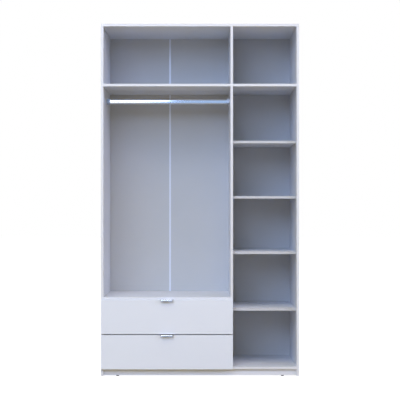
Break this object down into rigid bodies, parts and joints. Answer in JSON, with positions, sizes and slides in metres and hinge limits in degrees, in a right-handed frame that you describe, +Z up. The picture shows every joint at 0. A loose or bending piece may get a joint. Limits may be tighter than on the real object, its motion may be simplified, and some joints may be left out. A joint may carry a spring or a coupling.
{
  "type": "wardrobe",
  "caption": "Tall open wardrobe: a hanging rail over stacked drawers on the left, a column of shelves on the right, and a hat shelf across the top.",
  "frame": {"origin": "middle of the footprint at floor level, drawer pulls included in the depth", "axes": "+X to the right seen from the front, +Y to the back, +Z up; the front faces -Y"},
  "size_m": [1.201, 0.5412, 2.1345],
  "materials": {
    "white_board": "white melamine on chipboard, faint pearl texture",
    "edge_band": "white edge band",
    "back_board": "white lacquered hardboard",
    "strip_plastic": "semi-gloss white profile",
    "zinc_steel": "bright zinc plate",
    "chrome": "polished",
    "cap_plastic": "white caps",
    "beech": "fluted beech",
    "black_plastic": "black nylon",
    "satin_aluminium": "satin anodised"
  },
  "bodies": {
    "carcass": {"left_side_panel": "white_board", "right_side_panel": "white_board", "divider_panel": "white_board", "top_panel": "white_board", "bottom_panel": "white_board", "drawer_cover_board": "white_board", "hat_shelf_left": "white_board", "hat_shelf_right": "white_board", "front_plinth": "white_board", "rear_plinth": "white_board", "loose_shelf_1": "white_board", "loose_shelf_2": "white_board", "loose_shelf_3": "white_board", "loose_shelf_4": "white_board", "upright_edge_bands": "edge_band", "level_edge_bands": "edge_band", "shelf_edge_bands": "edge_band", "back_sheet_left": "back_board", "back_sheet_middle": "back_board", "back_sheet_right": "back_board", "back_joint_strip": "strip_plastic", "back_nails": "zinc_steel", "carcass_screws": "zinc_steel", "carcass_wood_screws": "zinc_steel", "shelf_pins": "zinc_steel", "hanging_rail": "chrome", "rail_socket_left": "chrome", "rail_socket_right": "chrome", "screw_caps": "cap_plastic", "dowels": "beech", "glides": "black_plastic", "lower_runner_outer_members": "zinc_steel", "upper_runner_outer_members": "zinc_steel"},
    "lower_drawer": {"lower_drawer_front": "white_board", "lower_drawer_side_left": "white_board", "lower_drawer_side_right": "white_board", "lower_drawer_back": "white_board", "lower_drawer_base": "back_board", "lower_drawer_pull": "satin_aluminium", "lower_drawer_cam_fittings": "zinc_steel", "lower_drawer_corner_screws": "zinc_steel", "lower_drawer_wood_screws": "zinc_steel", "lower_runner_inner_members": "zinc_steel"},
    "lower_runner_middle": {"lower_runner_middle_members": "zinc_steel"},
    "lower_runner_outer_cages": {"lower_runner_outer_ball_cages": "zinc_steel"},
    "lower_runner_inner_cages": {"lower_runner_inner_ball_cages": "zinc_steel"},
    "upper_drawer": {"upper_drawer_front": "white_board", "upper_drawer_side_left": "white_board", "upper_drawer_side_right": "white_board", "upper_drawer_back": "white_board", "upper_drawer_base": "back_board", "upper_drawer_pull": "satin_aluminium", "upper_drawer_cam_fittings": "zinc_steel", "upper_drawer_corner_screws": "zinc_steel", "upper_drawer_wood_screws": "zinc_steel", "upper_runner_inner_members": "zinc_steel"},
    "upper_runner_middle": {"upper_runner_middle_members": "zinc_steel"},
    "upper_runner_outer_cages": {"upper_runner_outer_ball_cages": "zinc_steel"},
    "upper_runner_inner_cages": {"upper_runner_inner_ball_cages": "zinc_steel"}
  },
  "joints": [
    {"name": "lower_drawer_slide", "type": "slide", "parent": "carcass", "child": "lower_drawer", "axis": [0, -1, 0], "range_m": [0, 0.4]},
    {"name": "lower_runner_middle_slide", "type": "slide", "parent": "carcass", "child": "lower_runner_middle", "axis": [0, -1, 0], "range_m": [0, 0.2]},
    {"name": "lower_runner_outer_cages_slide", "type": "slide", "parent": "carcass", "child": "lower_runner_outer_cages", "axis": [0, -1, 0], "range_m": [0, 0.1]},
    {"name": "lower_runner_inner_cages_slide", "type": "slide", "parent": "carcass", "child": "lower_runner_inner_cages", "axis": [0, -1, 0], "range_m": [0, 0.3]},
    {"name": "upper_drawer_slide", "type": "slide", "parent": "carcass", "child": "upper_drawer", "axis": [0, -1, 0], "range_m": [0, 0.4]},
    {"name": "upper_runner_middle_slide", "type": "slide", "parent": "carcass", "child": "upper_runner_middle", "axis": [0, -1, 0], "range_m": [0, 0.2]},
    {"name": "upper_runner_outer_cages_slide", "type": "slide", "parent": "carcass", "child": "upper_runner_outer_cages", "axis": [0, -1, 0], "range_m": [0, 0.1]},
    {"name": "upper_runner_inner_cages_slide", "type": "slide", "parent": "carcass", "child": "upper_runner_inner_cages", "axis": [0, -1, 0], "range_m": [0, 0.3]}
  ],
  "couplings": [
    {"joint": "lower_runner_middle_slide", "follows": "lower_drawer_slide", "ratio": 0.5},
    {"joint": "lower_runner_outer_cages_slide", "follows": "lower_drawer_slide", "ratio": 0.25},
    {"joint": "lower_runner_inner_cages_slide", "follows": "lower_drawer_slide", "ratio": 0.75},
    {"joint": "upper_runner_middle_slide", "follows": "upper_drawer_slide", "ratio": 0.5},
    {"joint": "upper_runner_outer_cages_slide", "follows": "upper_drawer_slide", "ratio": 0.25},
    {"joint": "upper_runner_inner_cages_slide", "follows": "upper_drawer_slide", "ratio": 0.75}
  ]
}
